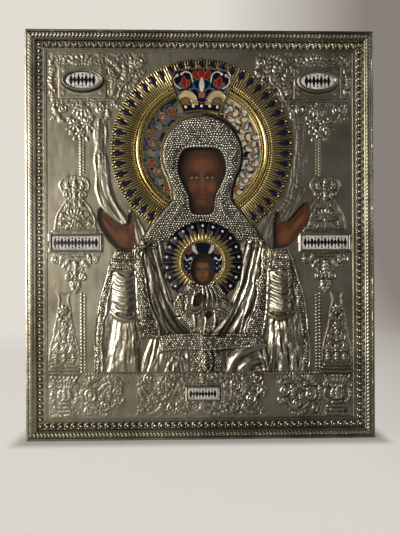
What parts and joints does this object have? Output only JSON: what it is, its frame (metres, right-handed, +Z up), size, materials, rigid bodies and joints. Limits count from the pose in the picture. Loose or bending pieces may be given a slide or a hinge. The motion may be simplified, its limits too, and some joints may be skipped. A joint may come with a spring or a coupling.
{
  "type": "enamelled metal icon",
  "caption": "Upright devotional panel: a painted wooden board under an embossed metal cover with a rayed halo, enamels, plaques and a ring to hang it by.",
  "frame": {"origin": "foot of the object, in the middle of its width and of its depth", "axes": "+Z up, the painted front faces -Y, +X to the right of someone who looks at the front"},
  "size_m": [0.265, 0.04, 0.311],
  "materials": {
    "silver_strip": "stamped silver-plated strip, tarnished, bright on the crests",
    "silver_relief": "embossed silver-plated sheet, tarnished olive grey in the hollows",
    "veil_silver": "stippled silver-plated sheet, warm grey",
    "gilt_metal": "worn gilding on metal",
    "blue_enamel": "glossy dark blue glass enamel with painted and gilt ornament",
    "white_enamel": "glossy white enamel",
    "tempera": "varnished egg tempera, darkened",
    "gesso": "polished chalk ground",
    "panel_wood": "aged lime wood, planed",
    "brass_hardware": "dull brass wire and plate",
    "steel_screw": "dull steel"
  },
  "bodies": {
    "icon": {"background_sheet": "silver_relief", "bead_strip_bottom": "silver_strip", "bead_strip_left": "silver_strip", "bead_strip_right": "silver_strip", "bead_strip_top": "silver_strip", "brow_band": "gilt_metal", "child_halo_enamel": "blue_enamel", "child_robe": "silver_relief", "crown_enamel": "blue_enamel", "crown_pearls": "white_enamel", "crown_plate": "gilt_metal", "edge_nails": "brass_hardware", "frame_bottom": "silver_strip", "frame_left": "silver_strip", "frame_right": "silver_strip", "frame_top": "silver_strip", "gesso_ground": "gesso", "halo_drops": "blue_enamel", "halo_enamel_left": "blue_enamel", "halo_enamel_right": "blue_enamel", "halo_rays": "gilt_metal", "halo_roll": "gilt_metal", "hanger_plate": "brass_hardware", "hanger_screws": "steel_screw", "icon_board": "panel_wood", "lower_batten": "panel_wood", "lower_bezel": "gilt_metal", "lower_plaque": "white_enamel", "medallion_drops": "blue_enamel", "medallion_pearls": "white_enamel", "medallion_rays": "gilt_metal", "medallion_ring": "gilt_metal", "oval_bezel_left": "gilt_metal", "oval_bezel_right": "gilt_metal", "oval_plaque_left": "white_enamel", "oval_plaque_right": "white_enamel", "painted_child": "tempera", "painted_head": "tempera", "painted_left_hand": "tempera", "painted_right_hand": "tempera", "robe_relief": "silver_relief", "title_bezel_left": "gilt_metal", "title_bezel_right": "gilt_metal", "title_plaque_left": "white_enamel", "title_plaque_right": "white_enamel", "upper_batten": "panel_wood", "veil": "veil_silver"},
    "ring": {"hanging_ring": "brass_hardware"}
  },
  "joints": [
    {"name": "hanging_ring_swing", "type": "hinge", "parent": "icon", "child": "ring", "pos_m": [0, 0.0178, 0.285], "axis": [-1, 0, 0], "range_deg": [0, 184]}
  ]
}
